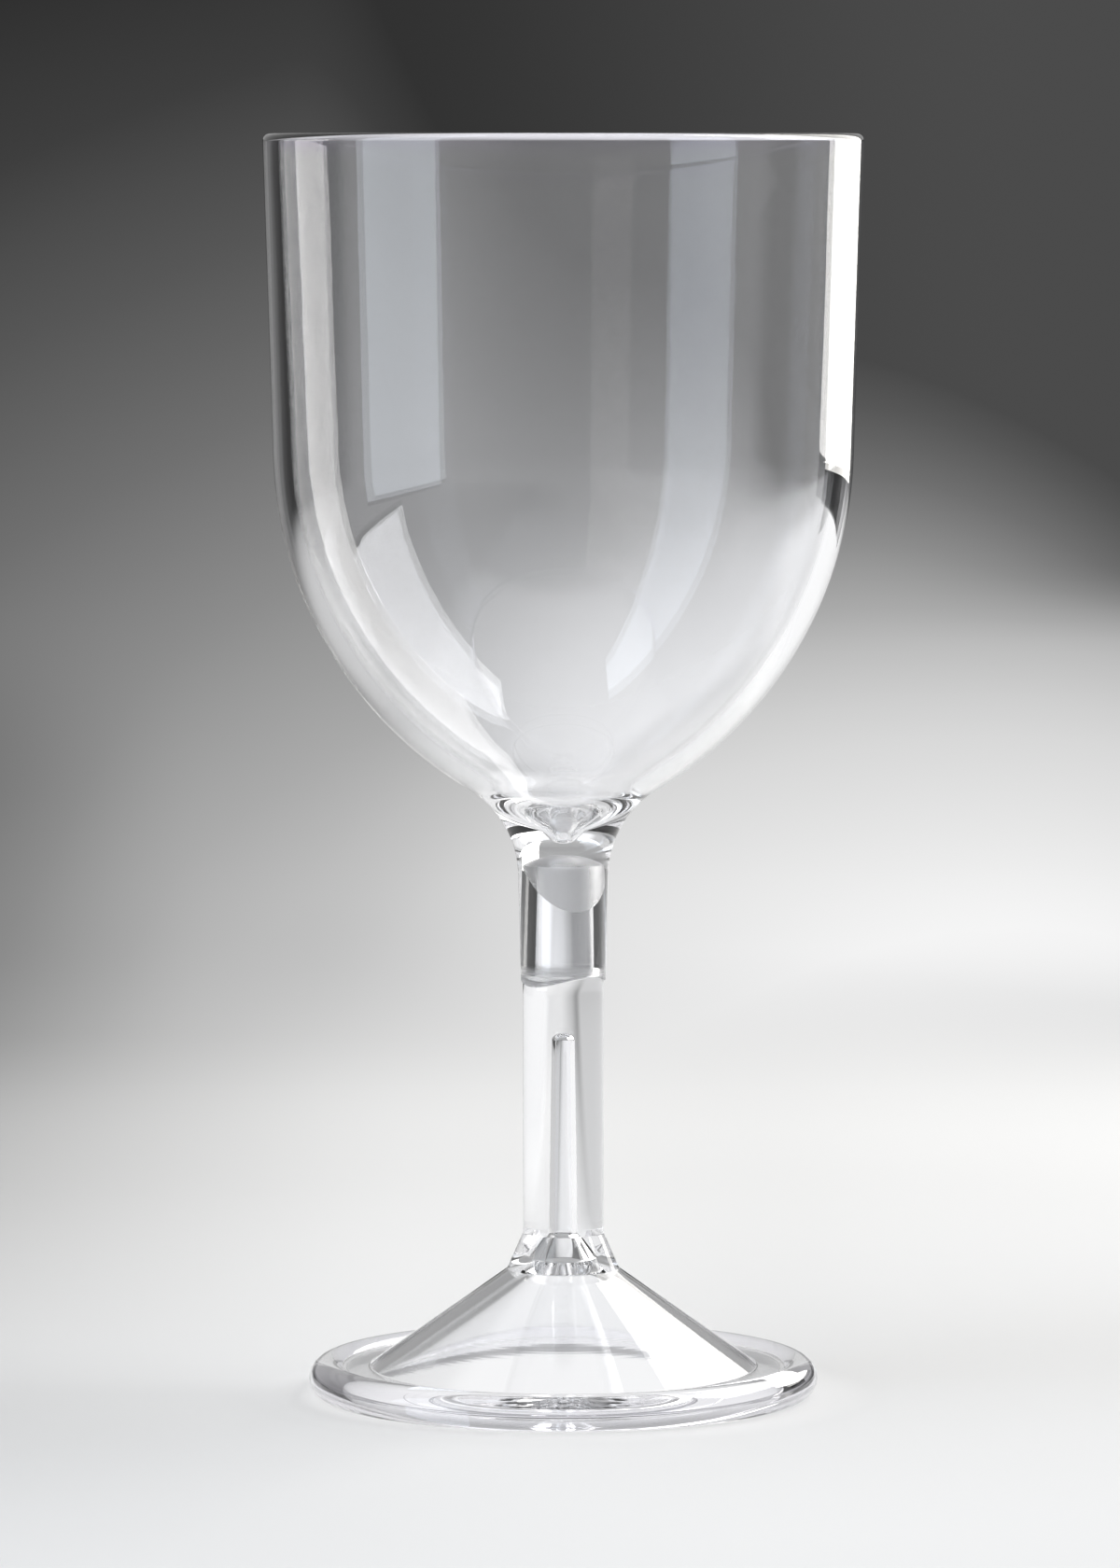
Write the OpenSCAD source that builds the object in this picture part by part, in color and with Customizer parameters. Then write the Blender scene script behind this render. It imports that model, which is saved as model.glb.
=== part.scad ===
// Clear plastic wine glass in two mouldings. The bowl carries the upper half of the stem, with a
// socket up its middle. The foot carries the lower half, with a spigot that pushes into the socket.
// The two stem ends meet in a shallow wave, so the pieces line up and cannot turn on each other.
// Millimetres, Z up, origin at the middle of the foot on the table, front of the glass towards -Y.

/* [Bowl] */
// Height of the whole glass, table to rim
glass_h = 165; // [155:1:185]
// Outside diameter at the rim
rim_d = 78.2; // [70:0.2:86]
// Thickness of the bowl wall at the rim
wall_t = 2; // [1.5:0.1:2.5]
// Draft of the upper wall outside, degrees off upright
wall_draft = 1.8; // [0.8:0.2:2.2]
// Draft of the upper wall inside, which thickens the wall downwards
inside_draft = 2.3; // [2:0.1:2.8]
// Height of the straight upper wall below the rim
straight_h = 42; // [36:1:46]
// Outside radius of the round that closes the bowl
bowl_round = 52.4; // [48:0.2:58]
// Inside radius of that round
inside_round = 50.2; // [48.6:0.2:52]
// Outside radius of the blend from the bowl into the stem
neck_round = 13.5; // [9:0.5:16]
// Diameter at which the inside round turns into the straight funnel
funnel_d = 25.2; // [20:0.2:30]
// Diameter of the mouth of the small pit at the bottom of the funnel
pit_d = 3.6; // [2.8:0.1:4.6]
// Diameter of the pit's round end
pit_end_d = 2.4; // [1.8:0.1:2.6]
// Depth of that pit
pit_depth = 2.2; // [1.6:0.1:2.8]

/* [Stem] */
// Diameter of the upper stem just below the neck
neck_d = 11.8; // [11:0.1:14]
// Diameter of the upper stem where it meets the foot
stem_end_d = 11.1; // [9.8:0.1:13]
// Diameter of the lower stem
stem_d = 10.6; // [9.6:0.1:12]
// Length of the cored-out hole up the lower stem, from the top of the flare
core_len = 26.5; // [16:0.5:30]
// Diameter of the hole at its lower end
core_d = 2.4; // [1.6:0.1:3.2]
// Diameter of the hole at its round upper end
core_end_d = 1.9; // [1:0.1:2.4]

/* [Joint] */
// Height of the joint's highest point above the table
joint_h = 55.3; // [50:0.1:60]
// Height of the wave in the joint, crest to trough
wave_h = 1.4; // [0.4:0.1:2.4]
// Direction of the wave's crest, degrees from the front towards the right
wave_turn = 42; // [0:1:180]
// Gap between the two stem ends
seat_gap = 0.1; // [0.02:0.01:0.3]
// Diameter of the spigot at its root
spigot_d = 7.5; // [6.4:0.1:8]
// Taper of the spigot, degrees off upright
spigot_draft = 1.6; // [0.4:0.1:3]
// Clearance between spigot and socket, on the radius
fit_gap = 0.03; // [0.01:0.01:0.08]
// Rise of the spigot's domed tip
dome_h = 1.9; // [0.8:0.1:2.6]
// Air left above the tip
tip_gap = 0.3; // [0.1:0.05:0.6]
// Plastic left between the pit and the top of the socket
floor_t = 1.9; // [1.4:0.1:2.6]

/* [Foot] */
// Diameter over the rounded rim of the foot
foot_d = 66.8; // [60:0.2:76]
// Thickness of the rounded rim
bead_d = 4.9; // [4:0.1:6]
// Amount taken off the rim underneath to give a flat to stand on
bead_flat = 0.15; // [0.1:0.01:0.4]
// Height of the flat ledge inside the rim
ledge_h = 3.8; // [3:0.1:4.2]
// Thickness of the ledge and of the hollow cone
foot_t = 1.8; // [1.4:0.1:2.2]
// Diameter of the cone at the ledge
cone_base_d = 50.9; // [46:0.1:53]
// Diameter of the cone at its top
cone_top_d = 14.8; // [13.6:0.1:18]
// Height of the top of the cone
cone_top_h = 16.6; // [14:0.1:19]
// Height of the short flare between cone and stem
flare_h = 4.7; // [3:0.1:7]
// Diameter at which the hollow of the cone turns into the flare under the stem
throat_d = 6.4; // [4.4:0.1:8]

/* [Hidden] */
$fn = 128;
clear_plastic = [0.88, 0.90, 0.93, 0.5];
// Steps in each arc, and the overrun of a cut past the face that it goes through
steps = 24;
slack = 1;

// Bowl, outside: straight wall, then the round, then the neck blend down to the stem
rim_r = rim_d / 2;
wall_end_h = glass_h - straight_h;
wall_end_r = rim_r - straight_h * tan(wall_draft);
round_r = wall_end_r - bowl_round * cos(wall_draft);
round_h = wall_end_h + bowl_round * sin(wall_draft);
neck_turn = acos((neck_d / 2 + neck_round - round_r) / (bowl_round + neck_round));
blend_r = neck_d / 2 + neck_round;
blend_h = round_h - (bowl_round + neck_round) * sin(neck_turn);

// Bowl, inside: the lip, the wall with its own draft, its round, then the funnel and its pit
lip_r = wall_t / 2;
lip_h = glass_h - lip_r;
lip_mid_r = rim_r - lip_r * (tan(wall_draft) + 1 / cos(wall_draft));
inside_top_r = lip_mid_r - lip_r * cos(inside_draft);
inside_top_h = lip_h + lip_r * sin(inside_draft);
inside_end_r = inside_top_r - (inside_top_h - wall_end_h) * tan(inside_draft);
inside_mid_r = inside_end_r - inside_round * cos(inside_draft);
inside_mid_h = wall_end_h + inside_round * sin(inside_draft);
funnel_turn = acos((funnel_d / 2 - inside_mid_r) / inside_round);
funnel_h = inside_mid_h - inside_round * sin(funnel_turn);
pit_r = pit_d / 2;
pit_mouth_h = funnel_h - (funnel_d / 2 - pit_r) / tan(funnel_turn);
pit_floor_h = pit_mouth_h - pit_depth;
pit_round = pit_end_d / 2;
pit_mid_h = pit_floor_h + pit_round;
// Angle on the round end at which the straight side of the pit runs into it
pit_turn = atan2(pit_mouth_h - pit_mid_h, pit_r) - acos(pit_round / norm([pit_r, pit_mouth_h - pit_mid_h]));

// Joint: the wave is part of a level cylinder that both stem ends are cut by
wave_r = (pow(stem_end_d / 2, 2) + wave_h * wave_h) / (2 * wave_h);
wave_mid_h = joint_h - wave_r;
wave_foot_h = joint_h - wave_h;
socket_top_h = pit_floor_h - floor_t;
tip_h = socket_top_h - tip_gap;
shoulder_h = tip_h - dome_h;
spigot_r = spigot_d / 2;
spigot_end_r = spigot_r - (shoulder_h - joint_h) * tan(spigot_draft);

// Foot: cone wall measured square to the slope
bead_r = bead_d / 2;
bead_mid_r = foot_d / 2 - bead_r;
bead_mid_h = bead_r - bead_flat;
flare_top_h = cone_top_h + flare_h;
cone_slope = (cone_top_h - ledge_h) / (cone_base_d / 2 - cone_top_d / 2);
cone_drop = foot_t / cos(atan(cone_slope));
ledge_under_h = ledge_h - foot_t;
hollow_r = cone_base_d / 2 + (ledge_h - cone_drop - ledge_under_h) / cone_slope;
throat_h = cone_top_h - cone_drop + (cone_top_d / 2 - throat_d / 2) * cone_slope;
core_top_h = flare_top_h + core_len;
core_end_r = core_end_d / 2;

// Points along an arc about a centre, from one angle to another
function arc(mid_r, mid_h, radius, from, to) =
    [for (i = [0:steps]) let (a = from + (to - from) * i / steps)
        [mid_r + radius * cos(a), mid_h + radius * sin(a)]];

// Spherical cap with its rim on a level circle, for the domed tip and the socket's matching end
module dome(rim_radius, rise, at_h) {
    ball_r = (rim_radius * rim_radius + rise * rise) / (2 * rise);
    translate([0, 0, at_h])
        intersection() {
            translate([0, 0, rise - ball_r]) sphere(r = ball_r);
            cylinder(r = rim_radius, h = rise + slack);
        }
}

// Level cylinder whose top is the wave, wide enough to pass through the whole stem
module wave(gap) {
    translate([0, 0, wave_mid_h])
        rotate([90, 0, wave_turn])
            cylinder(r = wave_r + gap, h = 2 * stem_end_d, center = true);
}

// Tapered plug with a domed tip: the spigot itself, or with room round and above it the socket
module taper(side_gap, end_gap) {
    root_h = wave_foot_h - 2 * slack;
    end_h = shoulder_h + end_gap;
    root_r = spigot_r + (joint_h - root_h) * tan(spigot_draft) + side_gap;
    end_r = spigot_end_r + side_gap;
    translate([0, 0, root_h]) cylinder(r1 = root_r, r2 = end_r, h = end_h - root_h);
    dome(end_r, dome_h, end_h);
}

// Bowl with the upper stem: one moulding, open at the rim, with the socket up its stem
module bowl() {
    outside = concat(
        [[0, wave_foot_h - slack], [stem_end_d / 2, wave_foot_h - slack], [stem_end_d / 2, wave_foot_h]],
        arc(blend_r, blend_h, neck_round, 180, 180 - neck_turn),
        arc(round_r, round_h, bowl_round, -neck_turn, -wall_draft));
    lip = arc(lip_mid_r, lip_h, lip_r, -wall_draft, 180 - inside_draft);
    inside = concat(
        arc(inside_mid_r, inside_mid_h, inside_round, -inside_draft, -funnel_turn),
        [[pit_r, pit_mouth_h]],
        arc(0, pit_mid_h, pit_round, pit_turn, -90));
    color(clear_plastic)
        difference() {
            rotate_extrude() polygon(concat(outside, lip, inside));
            taper(fit_gap, tip_gap);
            wave(seat_gap);
        }
}

// Outside of the foot: ledge, cone, flare and lower stem, left long for the wave to be cut
module foot_body() {
    rotate_extrude()
        polygon([[0, ledge_under_h], [bead_mid_r, ledge_under_h], [bead_mid_r, ledge_h],
            [cone_base_d / 2, ledge_h], [cone_top_d / 2, cone_top_h], [stem_d / 2, flare_top_h],
            [stem_d / 2, joint_h + slack], [0, joint_h + slack]]);
}

// Rounded rim, cut flat underneath
module foot_rim() {
    intersection() {
        rotate_extrude() translate([bead_mid_r, bead_mid_h]) circle(r = bead_r);
        cylinder(d = foot_d + slack, h = bead_d);
    }
}

// Hollow under the foot: the cone, the throat below the flare, and the slim hole up the stem
module foot_hollow() {
    rotate_extrude()
        polygon(concat(
            arc(0, core_top_h - core_end_r, core_end_r, 90, 0),
            [[core_d / 2, flare_top_h], [throat_d / 2, throat_h], [hollow_r, ledge_under_h],
                [hollow_r, ledge_under_h - slack], [0, ledge_under_h - slack]]));
}

// Foot with the lower stem and spigot: one moulding, hollow underneath
module foot() {
    color(clear_plastic)
        difference() {
            union() {
                difference() {
                    foot_body();
                    difference() {
                        translate([0, 0, wave_foot_h - slack])
                            cylinder(d = stem_d + slack, h = wave_h + 3 * slack);
                        wave(0);
                    }
                }
                foot_rim();
                taper(0, 0);
            }
            foot_hollow();
        }
}

bowl();
foot();
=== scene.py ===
import math

import bpy
from mathutils import Matrix, Vector


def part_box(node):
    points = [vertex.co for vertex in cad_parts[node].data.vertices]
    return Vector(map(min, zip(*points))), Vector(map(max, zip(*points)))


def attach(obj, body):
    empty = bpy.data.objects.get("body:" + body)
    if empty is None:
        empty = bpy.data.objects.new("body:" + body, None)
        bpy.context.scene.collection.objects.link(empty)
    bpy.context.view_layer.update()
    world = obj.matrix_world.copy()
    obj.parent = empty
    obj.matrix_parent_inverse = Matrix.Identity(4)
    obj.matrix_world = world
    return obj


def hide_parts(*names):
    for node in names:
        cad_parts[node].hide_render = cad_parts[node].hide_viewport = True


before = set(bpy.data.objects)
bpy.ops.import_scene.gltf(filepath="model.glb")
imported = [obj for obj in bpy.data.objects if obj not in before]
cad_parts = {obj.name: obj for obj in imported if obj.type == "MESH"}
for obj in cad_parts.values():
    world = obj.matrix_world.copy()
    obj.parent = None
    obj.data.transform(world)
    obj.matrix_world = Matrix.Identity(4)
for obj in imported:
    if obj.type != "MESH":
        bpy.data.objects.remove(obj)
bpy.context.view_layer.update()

# Bowl: one clear polystyrene moulding, with the neck and the upper half of the stem drawn out below it.
# A blind socket runs up that stem for the foot's spigot, and the stem's end is a shallow wave.
# It is turned here from one outline that runs from the pit in its floor over the lip to the socket.
MM = 0.001
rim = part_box("bowl")[1]
WALL = 2.0 * MM
LIP = WALL / 2
WALL_DRAFT = 1.8
INSIDE_DRAFT = 2.3
ROUND_MID = (-14.594 * MM, 124.646 * MM)
OUTER_ROUND = 52.4 * MM
INSIDE_MID = (-14.739 * MM, 125.015 * MM)
INSIDE_ROUND = 50.2 * MM
FUNNEL_TURN = 57.003
NECK_TURN = 58.95
NECK_MID = (19.4 * MM, 68.19 * MM)
NECK_ROUND = 13.5 * MM
PIT_R = 1.8 * MM
PIT_END_R = 1.2 * MM
PIT_MOUTH = 75.899 * MM
PIT_DEPTH = 2.2 * MM
PIT_FLOOR = PIT_MOUTH - PIT_DEPTH
STEM_END_R = 5.55 * MM
FLOOR_T = 1.9 * MM
SOCKET_TOP = PIT_FLOOR - FLOOR_T
DOME_H = 1.9 * MM
SOCKET_SHOULDER = SOCKET_TOP - DOME_H
TIP_GAP = 0.3 * MM
FIT_GAP = 0.03 * MM
SPIGOT_R = 3.75 * MM
SPIGOT_DRAFT = math.radians(1.6)
JOINT_H = 55.3 * MM
SEAT_GAP = 0.1 * MM
END_H = JOINT_H + SEAT_GAP
WAVE_H = 1.4 * MM
WAVE_R = (STEM_END_R ** 2 + WAVE_H ** 2) / (2 * WAVE_H)
WAVE_TURN = math.radians(42)
# Length of stem over which the wave dies out in the mesh
WAVE_REACH = 6 * MM
# Small round on the edges of both stem ends
EDGE = 0.12 * MM
TURNS = 256
WELD = 0.002 * MM
CREASE = math.radians(32)
FACE_PULL = 100


def arc(mid, radius, start, end, steps):
    """Points along an arc of an outline, from one angle to another, in degrees."""
    angles = [math.radians(start + (end - start) * i / steps) for i in range(steps + 1)]
    return [(mid[0] + radius * math.cos(a), mid[1] + radius * math.sin(a)) for a in angles]


def cap(rim_r, rim_h, rise, steps):
    """Points of a domed end, from its rim in to the axis."""
    ball = (rim_r * rim_r + rise * rise) / (2 * rise)
    lean = math.degrees(math.asin(rim_r / ball))
    return arc((0, rim_h + rise - ball), ball, 90 - lean, 90, steps)


def line(start, end, steps):
    """Points along a straight stretch of an outline, both ends left out."""
    return [(start[0] + (end[0] - start[0]) * i / steps, start[1] + (end[1] - start[1]) * i / steps)
            for i in range(1, steps)]


def turned(name, outline):
    """A piece drawn point by point from one vertex and spun about the upright axis."""
    bpy.ops.object.select_all(action="DESELECT")
    bpy.ops.mesh.primitive_plane_add(size=MM)
    piece = bpy.context.object
    piece.name = name
    piece.data.name = name
    bpy.ops.object.mode_set(mode="EDIT")
    bpy.ops.mesh.select_all(action="SELECT")
    bpy.ops.mesh.merge(type="CENTER")
    at = Vector((0, 0, 0))
    for i, (radius, height) in enumerate(outline):
        to = Vector((radius, 0, height))
        if i == 0:
            bpy.ops.transform.translate(value=to - at)
        else:
            bpy.ops.mesh.extrude_vertices_move(TRANSFORM_OT_translate={"value": to - at})
        at = to
    bpy.ops.mesh.select_all(action="SELECT")
    bpy.ops.mesh.spin(steps=TURNS, angle=math.tau, center=(0, 0, 0), axis=(0, 0, 1))
    bpy.ops.mesh.select_all(action="SELECT")
    bpy.ops.mesh.remove_doubles(threshold=WELD)
    bpy.ops.mesh.normals_make_consistent(inside=False)
    bpy.ops.object.mode_set(mode="OBJECT")
    return piece


def polished(piece):
    """Smooth shading that is led by the large faces, so that small rounds don't bend the light in them."""
    bpy.ops.object.select_all(action="DESELECT")
    piece.select_set(True)
    bpy.context.view_layer.objects.active = piece
    bpy.ops.object.shade_smooth_by_angle(angle=CREASE)
    bpy.ops.object.modifier_add(type="WEIGHTED_NORMAL")
    piece.modifiers[-1].weight = FACE_PULL
    piece.modifiers[-1].keep_sharp = True
    bpy.ops.object.modifier_apply(modifier=piece.modifiers[-1].name)


def wave_drop(point):
    """How far the wave lies below its crest at a point of the stem end."""
    across = point.x * math.cos(WAVE_TURN) + point.y * math.sin(WAVE_TURN)
    return WAVE_R - math.sqrt(max(WAVE_R ** 2 - across ** 2, 0))


def spigot_side(height):
    """Radius of the tapered spigot at a height."""
    return SPIGOT_R - (height - JOINT_H) * math.tan(SPIGOT_DRAFT)


pit_mid = (0, PIT_FLOOR + PIT_END_R)
pit_rise = PIT_MOUTH - pit_mid[1]
pit_turn = math.degrees(math.atan2(pit_rise, PIT_R) - math.acos(PIT_END_R / math.hypot(PIT_R, pit_rise)))
bowl_inside = (
    arc(pit_mid, PIT_END_R, -90, pit_turn, steps=12)
    + [(PIT_R, PIT_MOUTH)]
    + arc(INSIDE_MID, INSIDE_ROUND, -FUNNEL_TURN, -INSIDE_DRAFT, steps=48)
)
wall_lean = math.radians(WALL_DRAFT)
lip_mid = (rim.x - LIP * (math.tan(wall_lean) + 1 / math.cos(wall_lean)), rim.z - LIP)
bowl_lip = arc(lip_mid, LIP, 180 - INSIDE_DRAFT, -WALL_DRAFT, steps=16)
bowl_outside = (
    arc(ROUND_MID, OUTER_ROUND, -WALL_DRAFT, -NECK_TURN, steps=48)
    + arc(NECK_MID, NECK_ROUND, 180 - NECK_TURN, 180, steps=24)[1:]
)
socket_mouth = (spigot_side(END_H + EDGE) + FIT_GAP, END_H + EDGE)
socket_end = (spigot_side(SOCKET_SHOULDER - TIP_GAP) + FIT_GAP, SOCKET_SHOULDER)
bowl_stem_end = (
    line(bowl_outside[-1], (STEM_END_R, END_H + EDGE), steps=8)
    + arc((STEM_END_R - EDGE, END_H + EDGE), EDGE, 0, -90, steps=4)
    + arc((socket_mouth[0] + EDGE, END_H + EDGE), EDGE, -90, -180, steps=4)
    + line(socket_mouth, socket_end, steps=10)
    + cap(socket_end[0], SOCKET_SHOULDER, DOME_H, steps=10)
)
bowl = turned("bowl_moulding", (
    bowl_inside
    + line(bowl_inside[-1], bowl_lip[0], steps=12)
    + bowl_lip
    + line(bowl_lip[-1], bowl_outside[0], steps=12)
    + bowl_outside
    + bowl_stem_end
))
for v in bowl.data.vertices:
    fade = min(max((v.co.z - END_H) / WAVE_REACH, 0), 1)
    v.co.z -= wave_drop(v.co) * (1 - fade)
polished(bowl)


class Wire:
    """An output of a node, on which sums and products are written as in Python."""

    def __init__(self, tree, socket):
        self.tree = tree
        self.socket = socket

    @classmethod
    def node(cls, tree, kind, settings=None, inputs=None, output=0):
        """A new node: its settings come first, then the values or links of its sockets."""
        made = tree.nodes.new(kind)
        for key, value in (settings or {}).items():
            if key == "stops":
                while len(made.color_ramp.elements) < len(value):
                    made.color_ramp.elements.new(0.5)
                for element, (position, colour) in zip(made.color_ramp.elements, value):
                    element.position = position
                    element.color = colour
            else:
                setattr(made, key, value)
        for key, value in (inputs or {}).items():
            if isinstance(value, Wire):
                tree.links.new(value.socket, made.inputs[key])
            else:
                made.inputs[key].default_value = value
        return cls(tree, made.outputs[output])

    def beside(self, output):
        """Another output of the same node."""
        return Wire(self.tree, self.socket.node.outputs[output])

    def sum(self, operation, first, second):
        return Wire.node(self.tree, "ShaderNodeMath", {"operation": operation}, {0: first, 1: second})

    def __add__(self, other):
        return self.sum("ADD", self, other)

    __radd__ = __add__

    def __sub__(self, other):
        return self.sum("SUBTRACT", self, other)

    def __rsub__(self, other):
        return self.sum("SUBTRACT", other, self)

    def __mul__(self, other):
        return self.sum("MULTIPLY", self, other)

    __rmul__ = __mul__

    def __truediv__(self, other):
        return self.sum("DIVIDE", self, other)

    def __rtruediv__(self, other):
        return self.sum("DIVIDE", other, self)

    def __pow__(self, other):
        return self.sum("POWER", self, other)

    def step(self, low, high):
        """0 below low, 1 above high, and a smooth change between them. It falls if low is the larger."""
        return Wire.node(self.tree, "ShaderNodeMapRange", {"interpolation_type": "SMOOTHSTEP"},
                         {"Value": self, "From Min": low, "From Max": high})


class ClearPlastic:
    """Polished clear polystyrene with faint relief, frosted and a little milky where the joint is hazy.

    All lengths are in millimetres.
    """

    REFRACTION = 1.58
    NEARLY_CLEAR = (0.968, 0.972, 0.985, 1)
    POLISH = 0.008
    SCUFF = 0.05
    RELIEF_DEPTH = 0.012
    MILK = (0.97, 0.975, 0.985, 1)
    MILK_ROUGHNESS = 0.7
    # Socket and spigot lie inside this radius and below this height
    PLUG_R = (4.2, 4.4)
    PLUG_TOP = (72.4, 72.8)
    # The haze's lower edge: its height, and how far it hangs lower at the front and at the right
    HAZE_H = 67.2
    HAZE_FRONT = 3.0
    HAZE_RIGHT = 1.5
    HAZE_SCUFF = 10.0
    # Keeps a division by the radius sound on the axis
    AXIS = 0.01
    # The milky seam's upper edge, which its streaks make ragged
    SEAM_TOP = (56.6, 57.6)
    SEAM_RAGGED = 1.6
    SEAM_SCUFF = 5.0
    # Sockets of a Mix node that is set to colours
    COLOUR_A = 6
    COLOUR_B = 7
    COLOUR_OUT = 2

    def __init__(self, name):
        self.material = bpy.data.materials.new(name)
        self.material.use_nodes = True
        self.tree = self.material.node_tree
        self.clear = self.tree.nodes["Principled BSDF"]
        self.clear.inputs["IOR"].default_value = self.REFRACTION
        self.clear.inputs["Transmission Weight"].default_value = 1.0
        metres = Wire.node(self.tree, "ShaderNodeTexCoord", output="Object")
        self.place = self.vector("SCALE", metres, {"Scale": 1 / MM})
        self.east = Wire.node(self.tree, "ShaderNodeSeparateXYZ", inputs={"Vector": self.place}, output="X")
        self.north = self.east.beside("Y")
        self.height = self.east.beside("Z")
        self.radius = (self.east * self.east + self.north * self.north) ** 0.5

    def vector(self, operation, first, inputs):
        return Wire.node(self.tree, "ShaderNodeVectorMath", {"operation": operation}, {0: first, **inputs})

    def noise(self, pitch, detail=2.0):
        """Noise with its own pitch along x, y and z."""
        stretched = self.vector("DIVIDE", self.place, {1: pitch})
        return Wire.node(self.tree, "ShaderNodeTexNoise", {},
                         {"Vector": stretched, "Scale": 1.0, "Detail": detail})

    def over_haze_edge(self):
        """Height over the haze's lower edge."""
        hang = (self.HAZE_FRONT * self.north - self.HAZE_RIGHT * self.east) / (self.radius + self.AXIS)
        return self.height - (self.HAZE_H + hang)

    def hazy(self):
        """1 where socket and spigot are frosted, round the spigot's tip."""
        in_plug = (1 - self.radius.step(*self.PLUG_R)) * (1 - self.height.step(*self.PLUG_TOP))
        return self.over_haze_edge().step(-0.1, 0.15) * in_plug

    def seam(self, skin_r):
        """1 on the stem end inside its outer skin, and how milky its streaks are."""
        streaks = self.noise((2.5, 2.5, 0.12), detail=3.0)
        below = 1 - (self.height + self.SEAM_RAGGED * streaks).step(*self.SEAM_TOP)
        return below * (1 - self.radius.step(*skin_r)), 0.05 + 0.3 * streaks.step(0.35, 0.65)

    def tint(self, mask, edge):
        """Base colour: nearly clear all over, going to the edge's tint where the mask is 1."""
        mixed = Wire.node(self.tree, "ShaderNodeMix", {"data_type": "RGBA"},
                          {"Factor": mask, self.COLOUR_A: self.NEARLY_CLEAR, self.COLOUR_B: (*edge, 1)},
                          output=self.COLOUR_OUT)
        self.tree.links.new(mixed.socket, self.clear.inputs["Base Color"])

    def finish(self, milky, scuffed, relief):
        """Roughness and relief of the polished skin, and the milky film on parts of the joint."""
        rough = self.POLISH + self.SCUFF * scuffed
        self.tree.links.new(rough.socket, self.clear.inputs["Roughness"])
        bump = Wire.node(self.tree, "ShaderNodeBump", {},
                         {"Height": relief, "Distance": self.RELIEF_DEPTH * MM})
        self.tree.links.new(bump.socket, self.clear.inputs["Normal"])
        film = Wire.node(self.tree, "ShaderNodeBsdfPrincipled", {},
                         {"Base Color": self.MILK, "Roughness": self.MILK_ROUGHNESS})
        laid = Wire.node(self.tree, "ShaderNodeMixShader", {},
                         {0: milky, 1: Wire(self.tree, self.clear.outputs["BSDF"]), 2: film})
        self.tree.links.new(laid.socket, self.tree.nodes["Material Output"].inputs["Surface"])


LIP_LILAC = (0.93, 0.915, 0.975)
LIP_HEIGHTS = (161.5, 164.6)
bowl_plastic = ClearPlastic("clear_bowl_plastic")
bowl_plastic.tint(bowl_plastic.height.step(*LIP_HEIGHTS), LIP_LILAC)
flow_lines = bowl_plastic.noise((0.7, 0.7, 40.0), detail=3.0)
unevenness = bowl_plastic.noise((14.0, 14.0, 30.0))
mottle = bowl_plastic.noise((0.9, 0.9, 0.6), detail=4.0)
haze_line = bowl_plastic.over_haze_edge().step(0.9, 0.2)
speckle = 0.04 + 0.3 * mottle.step(0.5, 0.65) * haze_line
hazy = bowl_plastic.hazy()
seam, seam_milk = bowl_plastic.seam(skin_r=(5.3, 5.45))
bowl_plastic.finish(
    milky=hazy * speckle + seam * seam_milk,
    scuffed=(flow_lines.step(0.55, 0.8) * 0.25 + ClearPlastic.HAZE_SCUFF * hazy
             + ClearPlastic.SEAM_SCUFF * seam),
    relief=flow_lines * 0.08 + unevenness,
)
bowl.data.materials.append(bowl_plastic.material)
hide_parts("bowl")
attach(bowl, "bowl")

# Foot: one clear polystyrene moulding, with a rounded rim, a ledge, a hollow cone, a short flare and the
# lower half of the stem, cored by a slim hole. Its spigot pushes into the bowl's socket.
# It is turned from one outline that runs from the hole down the hollow, round the rim and up to the spigot.
FOOT_T = 1.8 * MM
BEAD_MID = (30.95 * MM, 2.3 * MM)
BEAD_R = 2.45 * MM
LEDGE_H = 3.8 * MM
LEDGE_UNDER = LEDGE_H - FOOT_T
HOLLOW_R = 24.88 * MM
CONE_BASE_R = 25.45 * MM
CONE_TOP = (7.4 * MM, 16.6 * MM)
FLARE_TOP = 21.3 * MM
STEM_R = 5.3 * MM
THROAT = (3.2 * MM, 17.37 * MM)
CORE_R = 1.2 * MM
CORE_END_R = 0.95 * MM
CORE_TOP = 47.8 * MM
CORE_MOUTH_ROUND = 0.8 * MM
THROAT_ROUND = 0.5 * MM
HOLLOW_ROUND = 0.4 * MM
LEDGE_UNDER_ROUND = 0.2 * MM
LEDGE_ROUND = 0.15 * MM
CONE_BASE_ROUND = 0.5 * MM
FLARE_ROUND = 0.35 * MM
# Degrees of the rim's arc that the small rounds beside the ledge take up
ROUND_SHARE = 4


def eased(corners, steps=4):
    """An outline whose corners (radius, height, round) are eased off by their own small rounds."""
    points = []
    for i, corner in enumerate(corners):
        here = Vector(corner[:2])
        if len(corner) < 3 or i in (0, len(corners) - 1):
            points.append(tuple(here))
            continue
        back = (Vector(corners[i - 1][:2]) - here).normalized()
        on = (Vector(corners[i + 1][:2]) - here).normalized()
        half = back.angle(on) / 2
        reach = corner[2] / math.tan(half)
        mid = here + (back + on).normalized() * corner[2] / math.sin(half)
        first = here + back * reach - mid
        last = here + on * reach - mid
        for k in range(steps + 1):
            spoke = first.lerp(last, k / steps)
            points.append(tuple(mid + spoke.normalized() * corner[2]))
    return points


under_angle = 180 + math.degrees(math.asin((BEAD_MID[1] - LEDGE_UNDER) / BEAD_R))
flat_angle = math.degrees(math.asin(BEAD_MID[1] / BEAD_R))
over_angle = 180 - math.degrees(math.asin((LEDGE_H - BEAD_MID[1]) / BEAD_R))
ledge_under_r = BEAD_MID[0] - BEAD_R * math.cos(math.radians(under_angle - 180))
ledge_over_r = BEAD_MID[0] + BEAD_R * math.cos(math.radians(over_angle))
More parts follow.
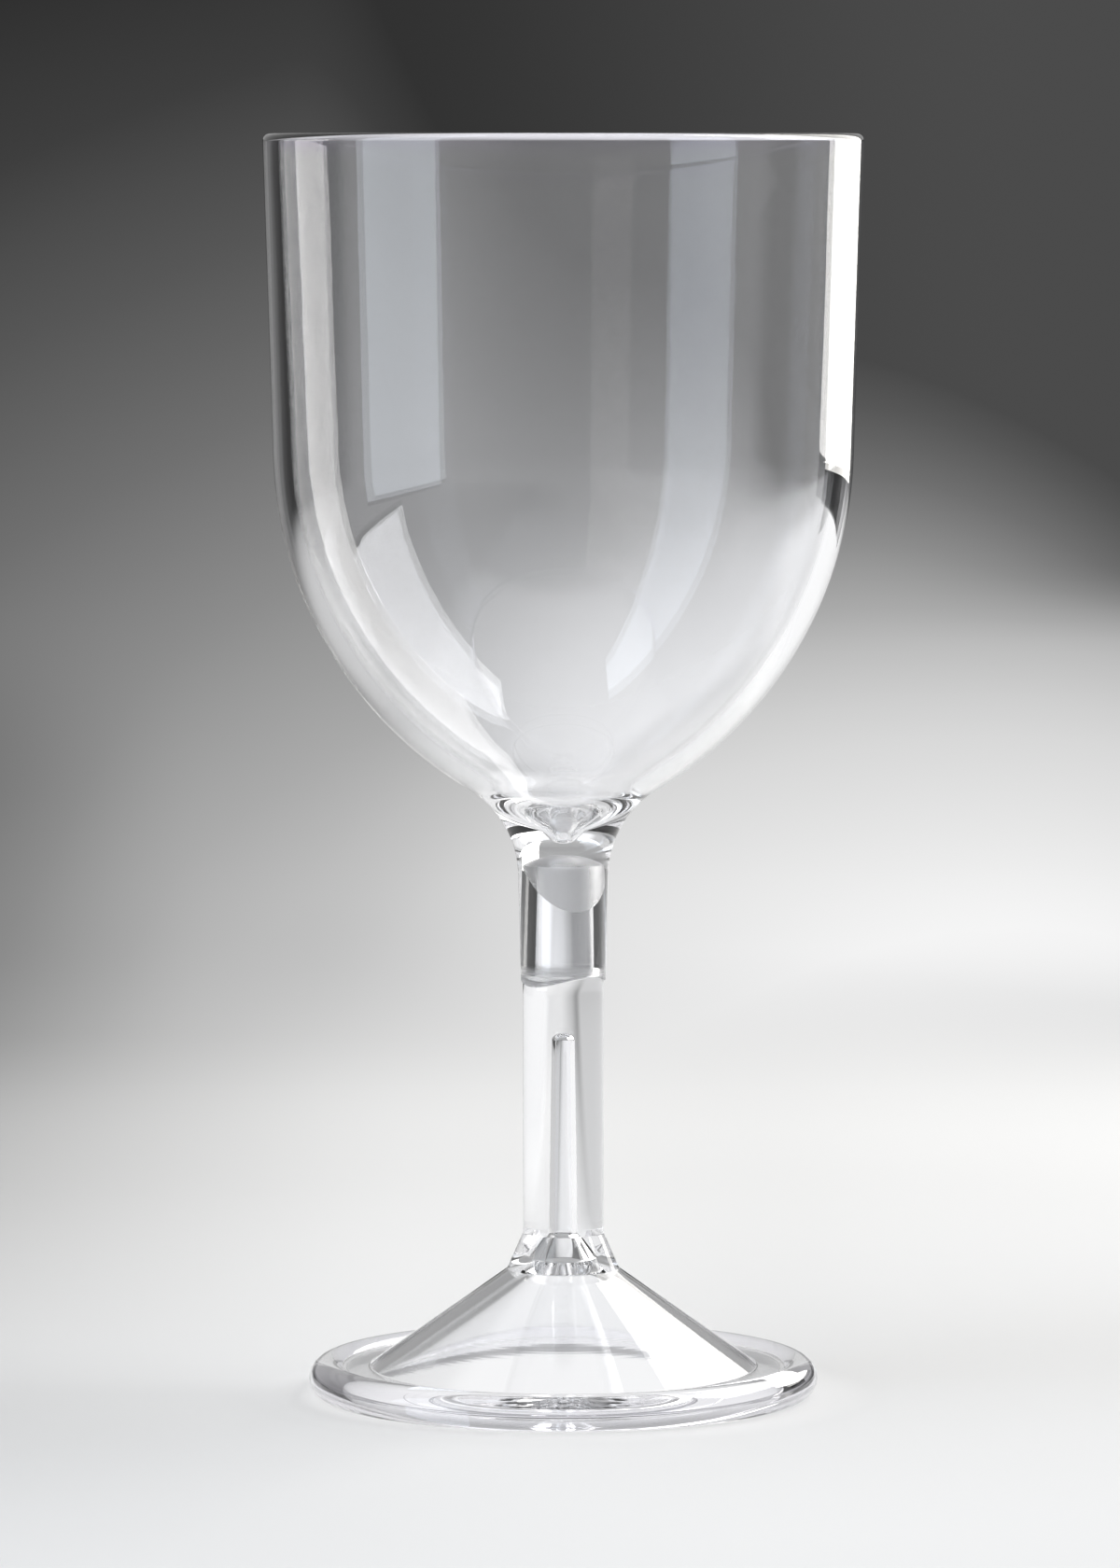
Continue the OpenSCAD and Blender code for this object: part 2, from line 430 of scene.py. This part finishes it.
# The last point only gives the round under the ledge its direction, and is then left out
bead_inside = (BEAD_MID[0] - BEAD_R * 0.985, 1.8 * MM)
foot_hollow = eased(
    arc((0, CORE_TOP - CORE_END_R), CORE_END_R, 90, 0, steps=12)
    + line((CORE_END_R, CORE_TOP - CORE_END_R), (CORE_R, FLARE_TOP), steps=12)
    + [(CORE_R, FLARE_TOP, CORE_MOUTH_ROUND), (*THROAT, THROAT_ROUND)]
    + line(THROAT, (HOLLOW_R, LEDGE_UNDER), steps=14)
    + [(HOLLOW_R, LEDGE_UNDER, HOLLOW_ROUND), (ledge_under_r, LEDGE_UNDER, LEDGE_UNDER_ROUND), bead_inside]
)[:-1]
foot_bead = (
    arc(BEAD_MID, BEAD_R, under_angle + ROUND_SHARE, 180 + flat_angle, steps=10)
    + arc(BEAD_MID, BEAD_R, -flat_angle, over_angle - ROUND_SHARE, steps=30)
)
foot_top = eased(
    [foot_bead[-1], (ledge_over_r, LEDGE_H, LEDGE_ROUND), (CONE_BASE_R, LEDGE_H, CONE_BASE_ROUND)]
    + line((CONE_BASE_R, LEDGE_H), CONE_TOP, steps=14)
    + [(*CONE_TOP, FLARE_ROUND), (STEM_R, FLARE_TOP, FLARE_ROUND)]
    + line((STEM_R, FLARE_TOP), (STEM_R, JOINT_H), steps=16)
    + [(STEM_R, JOINT_H, EDGE), (SPIGOT_R, JOINT_H)]
)[1:-1]
spigot_root = (spigot_side(JOINT_H + EDGE), JOINT_H + EDGE)
spigot_end = (spigot_side(SOCKET_SHOULDER - TIP_GAP), SOCKET_SHOULDER - TIP_GAP)
foot_spigot = (
    arc((spigot_root[0] + EDGE, spigot_root[1]), EDGE, -90, -180, steps=4)
    + line(spigot_root, spigot_end, steps=10)
    + cap(*spigot_end, DOME_H, steps=10)
)
foot = turned("foot_moulding", foot_hollow + foot_bead + foot_top + foot_spigot)
for v in foot.data.vertices:
    on_spigot = math.hypot(v.co.x, v.co.y) < SPIGOT_R + 0.5 * EDGE
    if on_spigot or v.co.z < JOINT_H - WAVE_REACH:
        continue
    v.co.z -= wave_drop(v.co) * min((v.co.z - JOINT_H + WAVE_REACH) / WAVE_REACH, 1)
polished(foot)

RIM_LILAC = (0.93, 0.92, 0.975)
RIM_RADII = (31.0, 33.2)
MARK_PITCH = 0.35
foot_plastic = ClearPlastic("clear_foot_plastic")
foot_plastic.tint(foot_plastic.radius.step(*RIM_RADII), RIM_LILAC)
turning_marks = Wire.node(foot_plastic.tree, "ShaderNodeTexNoise", {"noise_dimensions": "1D"},
                          {"W": foot_plastic.radius / MARK_PITCH, "Scale": 1.0, "Detail": 3.0})
unevenness = foot_plastic.noise((10.0, 10.0, 24.0))
under_cone = foot_plastic.radius.step(7.0, 9.0) * foot_plastic.radius.step(26.5, 25.0)
hazy = foot_plastic.hazy()
seam, seam_milk = foot_plastic.seam(skin_r=(5.0, 5.15))
seam = seam * foot_plastic.height.step(53.2, 53.8)
foot_plastic.finish(
    milky=0.02 * hazy + seam * seam_milk,
    scuffed=(turning_marks.step(0.5, 0.75) * under_cone * 0.6 + ClearPlastic.HAZE_SCUFF * hazy
             + ClearPlastic.SEAM_SCUFF * seam),
    relief=turning_marks * under_cone * 0.15 + unevenness,
)
foot.data.materials.append(foot_plastic.material)
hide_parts("foot")
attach(foot, "foot")

# Table and backdrop: one pale sheet that runs back from the glass and sweeps up all round it.
# Its colour holds a painted pool of light, pale round the glass, and painted shade that falls to dark grey
# up the sweep.
FLOOR_R = 2.25
FLOOR_RINGS = (0, 0.2, 0.6, 1.2, FLOOR_R)
SWEEP_R = 0.15
WALL_TOP = 0.24
sweep = turned("table_sweep", (
    [(radius, 0) for radius in FLOOR_RINGS]
    + arc((FLOOR_R, SWEEP_R), SWEEP_R, -90, 0, steps=24)[1:]
    + [(FLOOR_R + SWEEP_R, WALL_TOP)]
))
bpy.ops.object.mode_set(mode="EDIT")
bpy.ops.mesh.select_all(action="SELECT")
bpy.ops.mesh.flip_normals()
bpy.ops.object.mode_set(mode="OBJECT")
bpy.ops.object.shade_smooth()


def toward(tone, other, share):
    """A tone that goes to another one where the share is 1."""
    return tone + (other - tone) * share


def least(value, limit):
    return value.sum("MINIMUM", value, limit)


def most(value, limit):
    return value.sum("MAXIMUM", value, limit)


# The sheet's colour is painted light and shade: a pool of lamp light, a caustic under the foot and shade up
# the sweep
sheet = bpy.data.materials.new("table_sheet_with_painted_light")
sheet.use_nodes = True
tree = sheet.node_tree
tree.nodes.remove(tree.nodes["Principled BSDF"])
place = Wire.node(tree, "ShaderNodeTexCoord", output="Object")
east = Wire.node(tree, "ShaderNodeSeparateXYZ", inputs={"Vector": place}, output="X")
north = east.beside("Y")
height = east.beside("Z")
ring = (east * east + north * north) ** 0.5
bearing = east / ring
backness = north / ring

# The painted pool of light is an oval, laid out in slopes from a point about a metre in front of the glass
POOL_FROM = 1.024
POOL_MIDDLE = 0.0471
POOL_HALF_WIDTH = 0.1306
POOL_LEFT_END = -0.95
POOL_RIGHT_END = 0.3
POOL_FROM_H = 0.162462
POOL_DROP = 0.158527
POOL_HALF_HEIGHT = 0.100908
reach = ring + POOL_FROM
slant = east / reach
sideways = most(least((slant - POOL_MIDDLE) / POOL_HALF_WIDTH, POOL_RIGHT_END), POOL_LEFT_END)
rise = (POOL_DROP - (POOL_FROM_H - height) / reach) / POOL_HALF_HEIGHT
pool = (sideways * sideways + rise * rise) ** 0.5
# Its edge is harder from the middle to the right, drawn in at the far right, and painted shade makes it
# darker low at the far left
hardness = 1.0 + 1.1 * sideways.step(-0.62, -0.28) + 0.5 * sideways.step(-0.3, 0.2)
far_right = most(slant - 0.035, 0.0)
drawn_in = 200.0 * far_right * far_right * rise.step(0.95, 1.06)
painted_shade_low_left = 0.14 * sideways.step(-0.7, -0.95) * rise.step(1.0, 0.75)
pool_place = (pool - 1.0) * hardness + 1.0 + drawn_in + painted_shade_low_left
# Grey of the painted pool of light as it falls off, from its middle out
POOL_FALL_OFF = (
    (0.0, 0.94), (0.1, 0.845), (0.17, 0.79), (0.3, 0.69), (0.36, 0.625), (0.44, 0.515), (0.5, 0.405),
    (0.55, 0.335), (0.6, 0.265), (0.65, 0.21), (0.7, 0.16), (0.75, 0.125), (0.8, 0.095), (0.85, 0.073),
    (0.9, 0.048), (1.0, 0.028),
)
tone = Wire.node(tree, "ShaderNodeValToRGB",
                 {"stops": [(at, (grey, grey, grey, 1)) for at, grey in POOL_FALL_OFF]},
                 {"Fac": pool_place * 0.5})
darkest = 0.03 + 0.04 * sideways.step(-0.6, 0.1)
tone = most(tone, darkest)

# Near the glass the sheet is evenly pale, with painted shade that makes it a little greyer towards the far
# left and on the right, and painted light a little brighter farther out
PALE = 0.74
leftward = least(sideways, 0.0)
distant = most(least(0.35 + 2.0 * north, 1.2), 0.1)
before = north.step(0.05, -0.12)
right_side = sideways.step(-0.6, -0.1)
near = PALE - 0.44 * leftward * leftward * distant - 0.06 * before - (0.115 - 0.13 * before) * right_side
near = near * (1.0 + 0.1 * ring.step(0.2, 0.35))
tone = toward(near, tone, ring.step(0.3, 0.6))

# Outside the picture painted light makes it pale again in front and at the sides, a painted caustic makes
# it pale under the foot, and painted shade makes it dark at the back left
PAINTED_FRONT_LIGHT_TONE = 0.78
PAINTED_LEFT_LIGHT_TONE = 0.62
PAINTED_RIGHT_LIGHT_TONE = 0.99
PAINTED_CAUSTIC_TONE = 0.92
PAINTED_GREY_SHADE_TONE = 0.22
PAINTED_DARK_SHADE_TONE = 0.04
# Painted light on the sheet in front, away from the glass
painted_front_light = backness.step(0.4, -0.1) * ring.step(0.3, 0.8)
tone = toward(tone, PAINTED_FRONT_LIGHT_TONE, painted_front_light)
# Painted light of the left soft box on the sheet near it
painted_left_light = 0.9 * slant.step(-0.072, -0.105) * (1 - ring.step(0.4, 0.8))
tone = toward(tone, PAINTED_LEFT_LIGHT_TONE, painted_left_light)
# Painted light of the right soft box on the sheet to the right, less of it far off at the right
right_far = ring.step(1.0, 1.4) * (1 - 0.75 * bearing.step(0.75, 0.87))
painted_right_light = slant.step(0.073, 0.105) * ring.step(0.15, 0.3) * (1 - right_far)
tone = toward(tone, PAINTED_RIGHT_LIGHT_TONE, painted_right_light)
# Painted caustic: light that the clear foot lets through onto the sheet under it
painted_caustic_under_foot = 1 - ring.step(0.027, 0.042)
tone = toward(tone, PAINTED_CAUSTIC_TONE, painted_caustic_under_foot)
# Painted shade in two patches at the back left, grey and dark
behind = backness.step(0.0, 0.2)
painted_grey_shade = bearing.step(-0.17, -0.23) * bearing.step(-0.42, -0.36) * ring.step(0.9, 1.3) * behind
tone = toward(tone, PAINTED_GREY_SHADE_TONE, painted_grey_shade)
painted_dark_shade = bearing.step(-0.42, -0.48) * ring.step(0.6, 0.85) * behind
tone = toward(tone, PAINTED_DARK_SHADE_TONE, painted_dark_shade)

# Close to the glass the sheet takes the lamps' light and its shadow; farther off, under the foot and in the
# painted lamp light at the sides, camera, glossy and transmission rays see it glow with its painted light
# and shade
rays = Wire.node(tree, "ShaderNodeLightPath", output="Is Camera Ray")
seen = least(rays + rays.beside("Is Glossy Ray") + rays.beside("Is Transmission Ray"), 1.0)
far = 1 - (1 - ring.step(0.25, 0.75)) * (1 - painted_caustic_under_foot) * (1 - painted_right_light) * (1 - painted_left_light)
lit = Wire.node(tree, "ShaderNodeBsdfDiffuse", {}, {"Color": tone})
painted_light_glow = Wire.node(tree, "ShaderNodeEmission", {}, {"Color": tone, "Strength": 1.0})
mixed = Wire.node(tree, "ShaderNodeMixShader", {}, {0: far * seen, 1: lit, 2: painted_light_glow})
tree.links.new(mixed.socket, tree.nodes["Material Output"].inputs["Surface"])
sweep.data.materials.append(sheet)

# Studio light: three upright soft boxes, at the left, the back right and the right, each over a black
# border of cloth, under a grey dome with a wide pale canopy overhead.
DOME_LEFT = 0.26
DOME_FRONT = 0.78
DOME_MIDDLE = 0.35
DOME_TOP = 0.5
CANOPY = 1.15
# Keeps the slopes of the canopy sound at the horizon
HORIZON = 0.001
world = bpy.data.worlds.new("studio")
bpy.context.scene.world = world
world.use_nodes = True
tree = world.node_tree
way = Wire.node(tree, "ShaderNodeTexCoord", output="Generated")
rightward = Wire.node(tree, "ShaderNodeSeparateXYZ", inputs={"Vector": way}, output="X")
backward = rightward.beside("Y")
upward = rightward.beside("Z")
low = DOME_LEFT + 0.16 * rightward.step(-0.6, -0.1) + 0.3 * rightward.step(0.75, 0.95)
low = toward(low, DOME_FRONT, backward.step(0.4, -0.1))
dome = toward(low, DOME_MIDDLE, upward.step(0.15, 0.4))
dome = toward(dome, DOME_TOP, upward.step(0.5, 0.8))
canopy_y = backward / (upward + HORIZON)
canopy_x = rightward / (upward + HORIZON)
canopy_depth = canopy_y.step(-1.05, -0.85) * canopy_y.step(0.7, 0.4)
canopy_width = canopy_x.step(-0.8, -0.5) * canopy_x.step(1.2, 0.8)
dome = toward(dome, CANOPY, canopy_depth * canopy_width * upward.step(0.3, 0.45))
tree.links.new(dome.socket, tree.nodes["Background"].inputs["Color"])

black_cloth = bpy.data.materials.new("black_cloth")
black_cloth.use_nodes = True
cloth = black_cloth.node_tree.nodes["Principled BSDF"]
cloth.inputs["Base Color"].default_value = (0.02, 0.02, 0.02, 1)
cloth.inputs["Roughness"].default_value = 0.9


def soft_box(name, middle, facing, width, low_edge, top_edge, frame_low, radiance, colour):
    """An upright area light over a black border. Its bearing is in degrees, from the front to the right."""
    turn = Matrix.Rotation(math.radians(facing), 4, "Z") @ Matrix.Rotation(math.radians(90), 4, "X")
    lamp = bpy.data.lights.new(name, "AREA")
    lamp.shape = "RECTANGLE"
    lamp.size = width
    lamp.size_y = top_edge - low_edge
    lamp.energy = radiance * math.pi * lamp.size * lamp.size_y
    lamp.color = colour
    box = bpy.data.objects.new(name, lamp)
    bpy.context.scene.collection.objects.link(box)
    box.matrix_world = Matrix.Translation((*middle, (low_edge + top_edge) / 2)) @ turn
    box.visible_camera = False
    bpy.ops.mesh.primitive_plane_add(size=1)
    border = bpy.context.object
    border.name = name + "_frame"
    border.data.transform(Matrix.Translation((*middle, (frame_low + low_edge) / 2)) @ turn
                          @ Matrix.Diagonal((width, low_edge - frame_low, 1, 1)))
    border.data.materials.append(black_cloth)
    border.visible_camera = False


soft_box("left_soft_box", middle=(-0.31, -0.1675), facing=-90, width=0.235, low_edge=0.055, top_edge=1.1,
         frame_low=0.05, radiance=1.7, colour=(0.92, 1.0, 1.1))
soft_box("back_soft_box", middle=(0.2627, 0.3105), facing=133.3, width=0.246, low_edge=0.09, top_edge=0.60,
         frame_low=0.055, radiance=3.4, colour=(1.02, 1.0, 0.96))
soft_box("right_soft_box", middle=(0.409, 0.0945), facing=103, width=0.306, low_edge=0.235, top_edge=1.1,
         frame_low=0.225, radiance=4.0, colour=(1.0, 1.0, 1.0))

# Camera: a long lens a metre in front of the glass, a little below its rim and looking down on it a little.
# Clear plastic in clear plastic needs many bounces of light.
SENSOR_MM = 36
LENS_MM = 180.54
CAMERA_AT = (-0.00043, -1.0239, 0.1624)
LOOK_DOWN = 4.5837
CLEAR_BOUNCES = 32
GLOSSY_BOUNCES = 16
lens = bpy.data.cameras.new("camera")
lens.sensor_width = SENSOR_MM
lens.lens = LENS_MM
lens.clip_end = 50
camera = bpy.data.objects.new("camera", lens)
bpy.context.scene.collection.objects.link(camera)
camera.location = CAMERA_AT
camera.rotation_euler = (math.radians(90 - LOOK_DOWN), 0, 0)
bpy.context.scene.camera = camera

bpy.context.scene.view_settings.view_transform = "Standard"
bpy.context.scene.cycles.max_bounces = CLEAR_BOUNCES
bpy.context.scene.cycles.transmission_bounces = CLEAR_BOUNCES
bpy.context.scene.cycles.glossy_bounces = GLOSSY_BOUNCES
